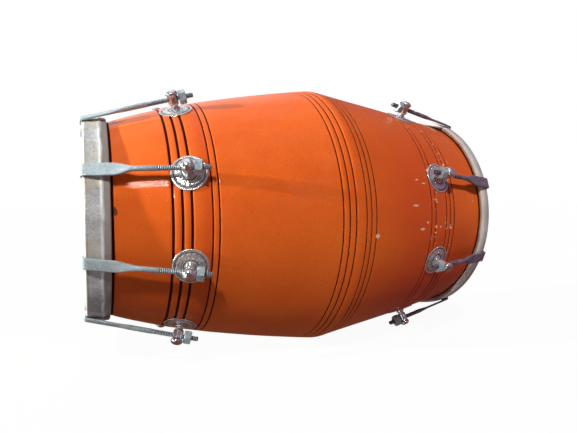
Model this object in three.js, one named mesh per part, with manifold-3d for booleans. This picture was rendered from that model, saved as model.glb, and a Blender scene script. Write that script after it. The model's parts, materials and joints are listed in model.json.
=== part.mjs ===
// A dholak: a two-headed barrel drum lying on its side, with its heads held by hook bolts.
// Millimetres, +Z up. The drum's axis runs along +X from the small treble head to the large
// bass head. The origin is under the middle of the drum, on the surface it lies on.
// Each end is built in its own frame: "inset" is the distance from that end's hoop front
// towards the middle of the drum, and "radius" is the distance from the drum's axis.

import * as THREE from 'three';
import { mergeVertices } from 'three/addons/utils/BufferGeometryUtils.js';
import Module from 'manifold-3d';

const wasm = await Module();
wasm.setup();

// Overall sizes
const drumLength = 428.4;
const bellyRadius = 148;
const seatGap = 0.32;
const cutOverrun = 2;
const roundSides = 32;

// Wooden shell: stations of its outline from the treble hoop's front to the bass hoop's front,
// as shares of the drum's length and of the belly's radius
const shellOutlineShares = [
  [0, 0.6192],
  [0.0476, 0.6595],
  [0.0696, 0.684],
  [0.1027, 0.717],
  [0.1629, 0.7715],
  [0.1979, 0.8],
  [0.238, 0.8285],
  [0.2832, 0.859],
  [0.3985, 0.926],
  [0.4857, 0.9696],
  [0.5398, 0.994],
  [0.5599, 1],
  [0.5819, 0.9905],
  [0.6411, 0.9645],
  [0.7594, 0.9145],
  [0.8185, 0.888],
  [0.8787, 0.8575],
  [0.9619, 0.8132],
  [1, 0.7945],
];
const shellWall = 12;
const rimWall = 7.5;
const rimInset = 4.6;
const rimFlat = 3;
const rimRound = 2.2;
const rimTaperLength = 26;
const innerStationShares = [0.118, 0.17, 0.232, 0.328, 0.479, 0.56, 0.659, 0.784, 0.855, 0.91];

// Turned grooves: where each band starts along the drum, and its grooves' count and sizes
const grooveBands = [
  { startShare: 0.1631, count: 3, spacing: 7.7, width: 3, depth: 1 },
  { startShare: 0.2386, count: 2, spacing: 5.7, width: 1.7, depth: 0.7 },
  { startShare: 0.5126, count: 3, spacing: 6.4, width: 1.7, depth: 0.7 },
  { startShare: 0.5692, count: 3, spacing: 6.3, width: 1.7, depth: 0.7 },
  { startShare: 0.7816, count: 2, spacing: 6.5, width: 1.8, depth: 0.7 },
  { startShare: 0.838, count: 3, spacing: 6.6, width: 2, depth: 0.8 },
];

// Heads and hoops
const skinThickness = 0.8;
const hoopRingThickness = 2.8;
const trebleHoopSizes = { width: 21.2, flare: 1.8, clearance: 0.4 };
const bassHoopSizes = { width: 10.7, flare: -0.2, clearance: 0.57 };
const skinCornerRound = 1.4;
const pasteRadius = 58;
const pasteThickness = 3.5;
const pasteEdgeShare = 0.86;
const pasteEdgeThicknessShare = 0.45;
const pasteSides = 20;

// Lugs round each end, from the front of the drum upwards: the four that face the front stand where
// they were drilled, and the rest share what is left. Each facing hook leans to its place on the hoop.
// The last inset of each end holds for all the lugs after it.
const lugCount = 8;
const trebleLugAngles = [-61, -19, 21.5, 65.7].map(THREE.MathUtils.degToRad);
const trebleHookLeans = [-2.2, 0.6, 4.5, 3.3].map(THREE.MathUtils.degToRad);
const bassLugAngles = [-70, -21.3, 18.7, 63.2].map(THREE.MathUtils.degToRad);
const bassHookLeans = [5.7, -1.5, -1.5, 0.2].map(THREE.MathUtils.degToRad);
const trebleLugInsets = [84.7];
const bassLugInsets = [64.5, 77.8];
const rodHeight = 11.5;
const lugBaseRadius = 4.6;
const lugFlareHeight = 0.9;
const lugNeckRadius = 3.3;
const lugBodyRadius = 4.8;
const lugBodyDepth = 5.2;
const lugBodyRise = 3;
const lugCapRadius = 5.8;
const lugCapRise = 5.5;
const lugTopRadius = 3.4;
const lugTopRise = 8.4;
const shankRadius = 2.5;
const lugSides = 8;

// Hook bolts
const rodRadius = 2.5;
const rodSides = 8;
const runningGap = 0.3;
const stripWidth = 11.8;
const stripThickness = 2.2;
const stripReach = 32;
const stripTaperLength = 9.5;
const lipLength = 5;
const lipThickness = 1.5;
const lipCorner = 0.8;
const tipChamfer = 0.6;
const tipPastNut = 7;

// Nuts, rosettes and the riveted washers that hold the lugs inside
const nutSides = 6;
const nutTurn = THREE.MathUtils.degToRad(15);
const nutAcrossFlats = 12;
const nutThickness = 6.8;
const rosetteRadius = 16.6;
const rosetteRimThickness = 1;
const rosetteBackShare = 0.55;
const rosetteShoulderShare = 0.76;
const rosetteShoulderThickness = 1.3;
const rosetteMiddleThickness = 2.9;
const rosetteSides = 10;
const washerRadius = 8;
const washerThickness = 1.4;
const washerSamples = 32;
const settlingPasses = 32;
const rivetRadius = 4;
const rivetHeight = 1.8;

// Colours
const lacqueredWood = { color: 0xe8701f, roughness: 0.22, metalness: 0 };
const hide = { color: 0xb9b3a6, roughness: 0.75, metalness: 0 };
const hoopSteel = { color: 0x55585c, roughness: 0.5, metalness: 1 };
const tuningPaste = { color: 0x17120f, roughness: 0.6, metalness: 0 };
const zincSteel = { color: 0xaab4b8, roughness: 0.38, metalness: 1 };
const chrome = { color: 0xd8dadd, roughness: 0.12, metalness: 1 };

// Solids: closed meshes, joined and cut
function solidOf(geometry) {
  const bare = geometry.clone();
  bare.deleteAttribute('normal');
  bare.deleteAttribute('uv');
  const merged = mergeVertices(bare);
  const mesh = new wasm.Mesh({
    numProp: 3,
    vertProperties: new Float32Array(merged.attributes.position.array),
    triVerts: new Uint32Array(merged.index.array),
  });
  return new wasm.Manifold(mesh);
}

function geometryOf(solid) {
  const mesh = solid.getMesh();
  const geometry = new THREE.BufferGeometry();
  const places = [];
  for (let i = 0; i < mesh.vertProperties.length; i += mesh.numProp) {
    places.push(mesh.vertProperties[i], mesh.vertProperties[i + 1], mesh.vertProperties[i + 2]);
  }
  geometry.setAttribute('position', new THREE.Float32BufferAttribute(places, 3));
  geometry.setIndex(Array.from(mesh.triVerts));
  geometry.computeVertexNormals();
  return geometry;
}

function facesOutward(geometry) {
  const flat = geometry.index ? geometry.toNonIndexed() : geometry;
  const place = flat.attributes.position;
  const a = new THREE.Vector3();
  const b = new THREE.Vector3();
  const c = new THREE.Vector3();
  let volume = 0;
  for (let i = 0; i < place.count; i += 3) {
    a.fromBufferAttribute(place, i);
    b.fromBufferAttribute(place, i + 1);
    c.fromBufferAttribute(place, i + 2);
    volume += a.dot(b.cross(c));
  }
  return volume > 0;
}

function outward(geometry) {
  if (facesOutward(geometry)) return geometry;
  const index = Array.from(geometry.index.array);
  for (let i = 0; i < index.length; i += 3) {
    [index[i + 1], index[i + 2]] = [index[i + 2], index[i + 1]];
  }
  geometry.setIndex(index);
  return geometry;
}

// A solid turned about the X axis, from outline points [along X, radius]
function turned(outline, sides) {
  const points = outline.map(([along, radius]) => new THREE.Vector2(radius, along));
  const geometry = new THREE.LatheGeometry(points, sides);
  geometry.rotateZ(-Math.PI / 2);
  return outward(geometry);
}

// A solid turned about the Z axis, from outline points [height, radius]
function turnedUp(outline, sides) {
  const geometry = turned(outline, sides);
  geometry.rotateY(-Math.PI / 2);
  return geometry;
}

// A flat-sided prism along X with a round bore
function boredPrism(sides, outerRadius, boreSides, boreRadius, start, length, turn) {
  const shape = new THREE.Shape(ringPoints(sides, outerRadius, turn));
  shape.holes.push(new THREE.Path(ringPoints(boreSides, boreRadius, 0)));
  const geometry = new THREE.ExtrudeGeometry(shape, { depth: length, bevelEnabled: false });
  geometry.rotateY(Math.PI / 2);
  geometry.translate(start, 0, 0);
  return geometry;
}

function ringPoints(sides, radius, turn) {
  const points = [];
  for (let i = 0; i < sides; i++) {
    const angle = turn + i / sides * Math.PI * 2;
    points.push(new THREE.Vector2(Math.cos(angle) * radius, Math.sin(angle) * radius));
  }
  return points;
}

// The corner radius of a polygon whose flats clear a shaft
function boreFor(shaftRadius, sides) {
  return (shaftRadius + runningGap) / Math.cos(Math.PI / sides);
}

// The shell's outline as a smooth curve through its stations
const outlineStations = shellOutlineShares.map(
  ([along, radius]) => [along * drumLength, radius * bellyRadius]);

function outlineSlope(i) {
  const before = outlineStations[Math.max(i - 1, 0)];
  const after = outlineStations[Math.min(i + 1, outlineStations.length - 1)];
  return (after[1] - before[1]) / (after[0] - before[0]);
}

function shellRadius(along) {
  const last = outlineStations.length - 2;
  let i = 0;
  while (i < last && outlineStations[i + 1][0] < along) i++;
  const [fromAlong, fromRadius] = outlineStations[i];
  const [toAlong, toRadius] = outlineStations[i + 1];
  const run = toAlong - fromAlong;
  const t = (along - fromAlong) / run;
  const rise = toRadius - fromRadius;
  const startBend = outlineSlope(i) * run - rise;
  const endBend = rise - outlineSlope(i + 1) * run;
  return fromRadius + t * rise + t * (1 - t) * ((1 - t) * startBend + t * endBend);
}

const rimStarts = [rimInset, drumLength - rimInset];

function wallAt(along) {
  const fromRim = Math.min(along - rimStarts[0], rimStarts[1] - along);
  const share = Math.min(fromRim / rimTaperLength, 1);
  return rimWall + (shellWall - rimWall) * share;
}

function innerRadius(along) {
  return shellRadius(along) - wallAt(along);
}

// Wooden shell with its grooves, its bearing edges and the holes for the lugs' shanks
function grooveCentres() {
  const centres = [];
  for (const band of grooveBands) {
    for (let i = 0; i < band.count; i++) {
      centres.push({ along: band.startShare * drumLength + i * band.spacing, band });
    }
  }
  return centres;
}

function shellOutline() {
  const grooves = grooveCentres();
  const clearOfGrooves = (along) => grooves.every(
    (groove) => Math.abs(groove.along - along) > groove.band.width);
  const insideRims = (along) => along > rimStarts[0] + rimRound * 2 && along < rimStarts[1] - rimRound * 2;
  const outer = outlineStations
    .map(([along]) => along)
    .filter((along) => insideRims(along) && clearOfGrooves(along))
    .map((along) => [along, shellRadius(along)]);
  for (const { along, band } of grooves) {
    const left = along - band.width / 2;
    const right = along + band.width / 2;
    outer.push([left, shellRadius(left)]);
    outer.push([along, shellRadius(along) - band.depth]);
    outer.push([right, shellRadius(right)]);
  }
  outer.sort((p, q) => p[0] - q[0]);
  const [trebleRim, bassRim] = rimStarts;
  const rimTop = (along) => shellRadius(along) - rimRound;
  const inner = innerStationShares
    .map((share) => share * drumLength)
    .map((along) => [along, innerRadius(along)])
    .reverse();
  const trebleTaperEnd = trebleRim + rimTaperLength;
  const bassTaperEnd = bassRim - rimTaperLength;
  return [
    [trebleRim, rimTop(trebleRim) - rimFlat],
    [trebleRim, rimTop(trebleRim)],
    [trebleRim + rimRound, shellRadius(trebleRim + rimRound)],
    ...outer,
    [bassRim - rimRound, shellRadius(bassRim - rimRound)],
    [bassRim, rimTop(bassRim)],
    [bassRim, rimTop(bassRim) - rimFlat],
    [bassTaperEnd, innerRadius(bassTaperEnd)],
    ...inner,
    [trebleTaperEnd, innerRadius(trebleTaperEnd)],
    [trebleRim, rimTop(trebleRim) - rimFlat],
  ];
}

// A wrapped hoop that slides over the shell's end with a named clearance at its back edge
function hoopOver(sizes, radiusAt) {
  const wrap = skinThickness * 2 + seatGap * 2 + hoopRingThickness;
  const backRadius = radiusAt(sizes.width) + sizes.clearance + wrap;
  return { width: sizes.width, backRadius, frontRadius: backRadius - sizes.flare };
}

// One lug of one end: how its rod lies between the hoop and the lug
function lugLayout(hoopSizes, lugInset, radiusAt, innerRadiusAt) {
  const hoop = hoopOver(hoopSizes, radiusAt);
  const base = { inset: lugInset, radius: radiusAt(lugInset) };
  const corner = { inset: 0, radius: hoop.frontRadius };
  const cornerClearance = seatGap + stripThickness / 2;
  const apart = Math.hypot(base.inset - corner.inset, base.radius - corner.radius);
  const climb = Math.atan2(base.radius - corner.radius, base.inset - corner.inset);
  const tilt = climb + Math.asin((rodHeight - cornerClearance) / apart);
  const rodPoint = {
    inset: base.inset - rodHeight * Math.sin(tilt),
    radius: base.radius + rodHeight * Math.cos(tilt),
  };
  const layout = { hoop, base, tilt, rodPoint, cornerClearance, radiusAt, innerRadiusAt };
  layout.washerDepth = washerDepth(layout);
  return layout;
}

// How far below the rod a flat washer lies when its edge just clears the shell's inside
function washerDepth(layout) {
  const { rodPoint, tilt, innerRadiusAt } = layout;
  const facetShare = Math.cos(Math.PI / roundSides);
  let depth = rodHeight + shellWall / 2;
  for (let pass = 0; pass < settlingPasses; pass++) {
    let worst = -Infinity;
    for (let i = 0; i < washerSamples; i++) {
      const angle = i / washerSamples * Math.PI * 2;
      const alongRod = Math.cos(angle) * washerRadius;
      const sideways = Math.sin(angle) * washerRadius;
      const inset = rodPoint.inset + alongRod * Math.cos(tilt) + depth * Math.sin(tilt);
      const radius = rodPoint.radius + alongRod * Math.sin(tilt) - depth * Math.cos(tilt);
      const allowed = innerRadiusAt(inset) * facetShare - seatGap;
      worst = Math.max(worst, Math.hypot(radius, sideways) - allowed);
    }
    depth += worst / Math.cos(tilt);
  }
  return depth;
}

const fromBassEnd = (radiusAt) => (inset) => radiusAt(drumLength - inset);

function lugLayouts(hoopSizes, insets, radiusAt, innerRadiusAt) {
  return Array.from({ length: lugCount }, (_, i) => {
    const lugInset = insets[Math.min(i, insets.length - 1)];
    return lugLayout(hoopSizes, lugInset, radiusAt, innerRadiusAt);
  });
}

const trebleLayouts = lugLayouts(trebleHoopSizes, trebleLugInsets, shellRadius, innerRadius);
const bassLayouts = lugLayouts(
  bassHoopSizes, bassLugInsets, fromBassEnd(shellRadius), fromBassEnd(innerRadius));

const nutSeat = lugCapRadius + seatGap;
const rodTip = nutSeat + nutThickness + tipPastNut;

// Where a hook lies: its frame has its origin at the rod's point in the lug, +X along the rod to the
// middle of the drum and +Z outward, square to the hoop's edge under the hook. A lean turns the hook
// round the drum's axis to its place on the hoop, so its lip is skewed to stay along that edge.
function hookLie(layout, lean) {
  const { hoop, rodPoint, tilt, cornerClearance } = layout;
  const outwards = new THREE.Vector3(0, Math.sin(lean), Math.cos(lean));
  const edge = new THREE.Vector3(0, Math.cos(lean), -Math.sin(lean));
  const origin = new THREE.Vector3(rodPoint.inset, 0, rodPoint.radius);
  const corner = outwards.clone().multiplyScalar(hoop.frontRadius);
  const start = corner.clone().addScaledVector(outwards, cornerClearance / Math.cos(tilt));
  const along = origin.clone().sub(start).normalize();
  const up = along.clone().cross(edge).normalize();
  const across = up.clone().cross(along);
  const frame = new THREE.Matrix4().makeBasis(along, across, up).setPosition(origin);
  const skewShare = edge.dot(along) / edge.dot(across);
  const toCorner = corner.clone().sub(origin);
  const cornerAlongRod = toCorner.dot(along) - toCorner.dot(across) * skewShare;
  const ownTilt = Math.atan2(-up.x, along.x);
  const squareShare = 1 / Math.hypot(along.x, up.x);
  return { frame, ownTilt, skewShare, squareShare, cornerAlongRod };
}

// Hook bolt in its own frame
function hookSolid(lie) {
  const { ownTilt, skewShare, squareShare, cornerAlongRod } = lie;
  const halfStrip = stripThickness / 2;
  const lipGap = seatGap * squareShare;
  const lipDepth = lipThickness * squareShare;
  const inward = [-Math.sin(ownTilt), -Math.cos(ownTilt)];
  const forward = [-Math.cos(ownTilt), Math.sin(ownTilt)];
  const rise = (seatGap - lipGap * Math.sin(ownTilt)) / Math.cos(ownTilt);
  const heel = [
    cornerAlongRod + forward[0] * lipGap - inward[0] * rise,
    -halfStrip,
  ];
  const offset = (point, direction, distance) => [
    point[0] + direction[0] * distance,
    point[1] + direction[1] * distance,
  ];
  const toe = offset(heel, inward, lipLength);
  const toeFront = offset(toe, forward, lipDepth);
  const browHeight = (stripThickness - lipDepth * Math.sin(ownTilt)) / Math.cos(ownTilt);
  const brow = offset(offset(heel, forward, lipDepth), inward, -browHeight);
  const stripEnd = cornerAlongRod + stripReach;
  const taperEnd = stripEnd + stripTaperLength;
  const side = new THREE.Shape([
    heel,
    toe,
    toeFront,
    offset(brow, inward, lipCorner),
    [brow[0] + lipCorner, halfStrip],
    [stripEnd, halfStrip],
    [stripEnd, -halfStrip],
  ].map(([x, y]) => new THREE.Vector2(x, y)));
  const strip = new THREE.ExtrudeGeometry(side, { depth: stripWidth, bevelEnabled: false });
  strip.rotateX(Math.PI / 2);
  strip.translate(0, stripWidth / 2, 0);
  strip.applyMatrix4(new THREE.Matrix4().makeShear(0, 0, skewShare, 0, 0, 0));
  const plan = new THREE.Shape([
    [stripEnd - cutOverrun, -stripWidth / 2],
    [stripEnd, -stripWidth / 2],
    [taperEnd, -rodRadius],
    [taperEnd, rodRadius],
    [stripEnd, stripWidth / 2],
    [stripEnd - cutOverrun, stripWidth / 2],
  ].map(([x, y]) => new THREE.Vector2(x, y)));
  const taper = new THREE.ExtrudeGeometry(plan, { depth: stripThickness, bevelEnabled: false });
  taper.translate(0, 0, -halfStrip);
  const rod = turned([
    [stripEnd - cutOverrun, 0],
    [stripEnd - cutOverrun, halfStrip / 2],
    [taperEnd, rodRadius],
    [rodTip - tipChamfer, rodRadius],
    [rodTip, rodRadius - tipChamfer],
    [rodTip, 0],
  ], rodSides);
  return solidOf(strip).add(solidOf(taper)).add(solidOf(rod));
}

// Nut on the rod, against the lug's cap
function nutGeometry() {
  const cornerRadius = nutAcrossFlats / 2 / Math.cos(Math.PI / nutSides);
  const bore = boreFor(rodRadius, rodSides);
  return boredPrism(nutSides, cornerRadius, rodSides, bore, nutSeat, nutThickness, nutTurn);
}

// Lug: a capped post over its rosette, bored across for the rod of a hook that lies as given, with
// a shank riveted over a washer inside the shell
function lugSolid(layout, lugToStation, lie) {
  const rosetteTop = -rodHeight + seatGap + rosetteMiddleThickness;
  const baseBottom = rosetteTop - rosetteMiddleThickness / 2;
  const washerTop = -layout.washerDepth;
  const washerBottom = washerTop - washerThickness;
  const shankEnd = washerBottom - rivetHeight;
  const body = turnedUp([
    [shankEnd, 0],
    [shankEnd, rivetRadius / 2],
    [washerBottom, rivetRadius],
    [washerBottom, washerRadius],
    [washerTop, washerRadius],
    [washerTop, shankRadius],
    [baseBottom, shankRadius],
    [baseBottom, lugBaseRadius],
    [rosetteTop + lugFlareHeight, lugNeckRadius],
    [-lugBodyDepth, lugBodyRadius],
    [lugBodyRise, lugBodyRadius],
    [lugCapRise, lugCapRadius],
    [lugTopRise, lugTopRadius],
    [lugTopRise, 0],
  ], lugSides);
  const boreReach = lugCapRadius + cutOverrun;
  const crossBore = turned([
    [-boreReach, 0],
    [-boreReach, boreFor(rodRadius, rodSides)],
    [boreReach, boreFor(rodRadius, rodSides)],
    [boreReach, 0],
  ], rodSides);
  const bore = solidOf(crossBore.applyMatrix4(lie.frame));
  const post = solidOf(body.applyMatrix4(lugToStation)).subtract(bore);
  return post.add(solidOf(rosetteGeometry(layout)));
}

// The drill that makes a shank's hole through the shell's wall
function shankDrill(layout) {
  const reach = layout.washerDepth + washerRadius;
  const drill = turned([
    [-reach, 0],
    [-reach, boreFor(shankRadius, lugSides)],
    [-rodHeight / 2, boreFor(shankRadius, lugSides)],
    [-rodHeight / 2, 0],
  ], lugSides);
  drill.rotateY(-Math.PI / 2);
  return drill;
}

// Rosette: a domed disc that follows the shell's curve, closed in its middle by the lug's shank
function rosetteGeometry(layout) {
  const { base, tilt, radiusAt } = layout;
  const hole = shankRadius / 2;
  const section = [
    [hole, 0],
    [rosetteRadius * rosetteBackShare, 0],
    [rosetteRadius, 0],
    [rosetteRadius, rosetteRimThickness],
    [rosetteRadius * rosetteShoulderShare, rosetteShoulderThickness],
    [hole, rosetteMiddleThickness],
  ];
  const places = [];
  const index = [];
  for (let side = 0; side < rosetteSides; side++) {
    const angle = side / rosetteSides * Math.PI * 2;
    for (const [reach, height] of section) {
      const inset = base.inset + Math.cos(angle) * reach * Math.cos(tilt);
      const surface = radiusAt(inset);
      const around = Math.sin(angle) * reach / surface;
      const lift = seatGap + height;
      const radius = surface + lift * Math.cos(tilt);
      places.push(inset - lift * Math.sin(tilt), Math.sin(around) * radius, Math.cos(around) * radius);
    }
  }
  const rings = section.length;
  for (let side = 0; side < rosetteSides; side++) {
    const next = (side + 1) % rosetteSides;
    for (let ring = 0; ring < rings; ring++) {
      const beyond = (ring + 1) % rings;
      const here = side * rings + ring;
      const above = side * rings + beyond;
      const there = next * rings + ring;
      const across = next * rings + beyond;
      index.push(here, there, above, above, there, across);
    }
  }
  const geometry = new THREE.BufferGeometry();
  geometry.setAttribute('position', new THREE.Float32BufferAttribute(places, 3));
  geometry.setIndex(index);
  return outward(geometry);
}

// Hoop ring inside the skin's wrap, and the head: a membrane whose skin wraps the ring
function hoopRadius(hoop, inset) {
  return hoop.frontRadius + (hoop.backRadius - hoop.frontRadius) * inset / hoop.width;
}

function hoopOutline(hoop) {
  const cover = skinThickness + seatGap;
  const front = cover;
  const back = hoop.width - cover;
  return [
    [front, hoopRadius(hoop, front) - cover],
    [back, hoopRadius(hoop, back) - cover],
    [back, hoopRadius(hoop, back) - cover - hoopRingThickness],
    [front, hoopRadius(hoop, front) - cover - hoopRingThickness],
    [front, hoopRadius(hoop, front) - cover],
  ];
}

const membraneInset = rimInset - seatGap - skinThickness / 2;

function headOutline(hoop) {
  const half = skinThickness / 2;
  const inside = (inset) => hoopRadius(hoop, inset)
    - skinThickness - seatGap * 2 - hoopRingThickness - half;
  const backInset = hoop.width - half;
  const path = [
    [membraneInset, 0],
    [membraneInset, inside(membraneInset) - skinCornerRound],
    [membraneInset + skinCornerRound, inside(membraneInset + skinCornerRound)],
    [backInset, inside(backInset)],
    [backInset, hoopRadius(hoop, backInset) - half],
    [half, hoopRadius(hoop, half) - half],
    [half, inside(half) + half],
  ].map(([inset, radius]) => new THREE.Vector2(inset, radius));
  const shift = (side) => path.map((point, i) => {
    const before = path[Math.max(i - 1, 0)];
    const after = path[Math.min(i + 1, path.length - 1)];
    const into = point.clone().sub(before).normalize();
    const away = after.clone().sub(point).normalize();
    if (i === 0) into.copy(away);
    if (i === path.length - 1) away.copy(into);
    const bisector = into.clone().add(away).normalize();
    const normal = new THREE.Vector2(-bisector.y, bisector.x);
    const stretch = half / Math.abs(normal.dot(new THREE.Vector2(-into.y, into.x)));
    return [point.x + normal.x * stretch * side, point.y + normal.y * stretch * side];
  });
  return [...shift(1), ...shift(-1).reverse()];
}

// Tuning paste on the inside of the bass membrane
function pasteOutline() {
  const seat = membraneInset + skinThickness / 2 + seatGap;
  return [
    [seat, 0],
    [seat, pasteRadius],
    [seat + pasteThickness * pasteEdgeThicknessShare, pasteRadius * pasteEdgeShare],
    [seat + pasteThickness, 0],
  ];
}

// Assembly
const dholak = new THREE.Group();
const drum = new THREE.Group();
drum.position.set(-drumLength / 2, 0, bellyRadius);
dholak.add(drum);

const trebleFrame = new THREE.Group();
const bassFrame = new THREE.Group();
bassFrame.position.set(drumLength, 0, 0);
bassFrame.rotation.set(0, 0, Math.PI);
drum.add(trebleFrame, bassFrame);

function place(parent, name, geometry, look) {
  const mesh = new THREE.Mesh(geometry, new THREE.MeshStandardMaterial(look));
  mesh.name = name;
  parent.add(mesh);
  return mesh;
}

// Angles of all the lugs of one end: the facing ones first, then the rest, evenly apart
function lugAngles(facing) {
  const last = facing[facing.length - 1];
  const others = lugCount - facing.length;
  const apart = (Math.PI * 2 - (last - facing[0])) / (others + 1);
  const rest = Array.from({ length: others }, (_, i) => last + apart * (i + 1));
  return [...facing, ...rest];
}

const ends = [
  {
    name: 'treble',
    frame: trebleFrame,
    layouts: trebleLayouts,
    angles: lugAngles(trebleLugAngles),
    leans: trebleHookLeans,
    sense: 1,
  },
  {
    name: 'bass',
    frame: bassFrame,
    layouts: bassLayouts,
    angles: lugAngles(bassLugAngles),
    leans: bassHookLeans,
    sense: -1,
  },
];

let shellSolid = solidOf(turned(shellOutline(), roundSides));

for (const end of ends) {
  const { name, frame, layouts, angles, leans, sense } = end;
  const { hoop } = layouts[0];
  place(frame, `${name}_hoop`, turned(hoopOutline(hoop), roundSides), hoopSteel);
  place(frame, `${name}_head`, turned(headOutline(hoop), roundSides), hide);

  angles.forEach((angle, i) => {
    const layout = layouts[i];
    const lugToStation = new THREE.Matrix4()
      .makeTranslation(layout.rodPoint.inset, 0, layout.rodPoint.radius)
      .multiply(new THREE.Matrix4().makeRotationY(-layout.tilt));
    const lie = hookLie(layout, sense * (leans[i] ?? 0));
    const station = new THREE.Group();
    station.rotation.set(sense * (Math.PI / 2 - angle), 0, 0);
    frame.add(station);
    const hook = geometryOf(hookSolid(lie)).applyMatrix4(lie.frame);
    const nut = nutGeometry().applyMatrix4(lie.frame);
    const lug = geometryOf(lugSolid(layout, lugToStation, lie));
    place(station, `${name}_hook_${i + 1}`, hook, zincSteel);
    place(station, `${name}_nut_${i + 1}`, nut, zincSteel);
    place(station, `${name}_lug_${i + 1}`, lug, chrome);
    station.updateMatrix();
    frame.updateMatrix();
    const drill = shankDrill(layout).applyMatrix4(lugToStation);
    drill.applyMatrix4(station.matrix).applyMatrix4(frame.matrix);
    shellSolid = shellSolid.subtract(solidOf(drill));
  });
}

place(drum, 'shell', geometryOf(shellSolid), lacqueredWood);
place(bassFrame, 'bass_tuning_paste', turned(pasteOutline(), pasteSides), tuningPaste);

dholak.updateMatrixWorld(true);

export default dholak;
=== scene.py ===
# A lacquered barrel drum with hide heads, threaded hooks, nuts and chrome lugs, round its frame.
# Shapes are worked out in millimetres and scaled to metres when each piece is finished.
import json
import math

import bmesh
import bpy
from mathutils import Matrix, Vector, noise


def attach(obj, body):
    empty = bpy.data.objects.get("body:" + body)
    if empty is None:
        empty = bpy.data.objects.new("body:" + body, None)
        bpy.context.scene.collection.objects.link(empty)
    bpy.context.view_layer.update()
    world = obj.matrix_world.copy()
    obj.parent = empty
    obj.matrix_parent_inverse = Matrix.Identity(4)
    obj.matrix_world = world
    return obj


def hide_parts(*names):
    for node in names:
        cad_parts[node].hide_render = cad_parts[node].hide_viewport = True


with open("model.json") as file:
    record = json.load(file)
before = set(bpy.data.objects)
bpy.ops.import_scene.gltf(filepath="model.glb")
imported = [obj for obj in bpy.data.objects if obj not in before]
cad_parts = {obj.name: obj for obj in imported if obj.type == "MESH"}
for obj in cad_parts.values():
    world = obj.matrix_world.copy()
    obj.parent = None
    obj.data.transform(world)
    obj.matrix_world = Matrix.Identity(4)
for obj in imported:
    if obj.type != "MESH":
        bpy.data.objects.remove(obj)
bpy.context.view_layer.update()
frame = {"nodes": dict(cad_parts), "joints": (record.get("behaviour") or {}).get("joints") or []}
joints = {joint["name"]: joint for joint in frame["joints"]}
print("frame loaded")

mm = 0.001
drum = {
    "length": 428.4,
    "axisHeight": 148.0,
    "lugCount": 8,
    "rodHeight": 11.5,    # the rod's middle above the wood
    "nutFace": 6.12,    # the nut's near face from the lug's middle, along the rod
    "nutThickness": 6.8,
    "seatGap": 0.32,
    "lipDepth": 1.5,
    "stripThickness": 2.2,
    "frontRadius": {"treble": 101.516, "bass": 125.186},
}
senses = {"treble": 1, "bass": -1}


# Finishes: a socket that can be written in sums, and one method that adds any node

class Wire:
    def __init__(self, finish, socket):
        self.finish = finish
        self.socket = socket

    def sum(self, operation, *values):
        return self.finish.add("ShaderNodeMath", {"operation": operation}, dict(enumerate(values)))

    def __add__(self, other):
        return self.sum("ADD", self, other)

    __radd__ = __add__

    def __sub__(self, other):
        return self.sum("SUBTRACT", self, other)

    def __rsub__(self, other):
        return self.sum("SUBTRACT", other, self)

    def __mul__(self, other):
        return self.sum("MULTIPLY", self, other)

    __rmul__ = __mul__

    def orMore(self, other):
        return self.sum("MAXIMUM", self, other)

    def above(self, low, high):
        return self.finish.add(
            "ShaderNodeMapRange", {"interpolation_type": "SMOOTHSTEP"},
            {"Value": self, "From Min": low, "From Max": high})


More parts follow.
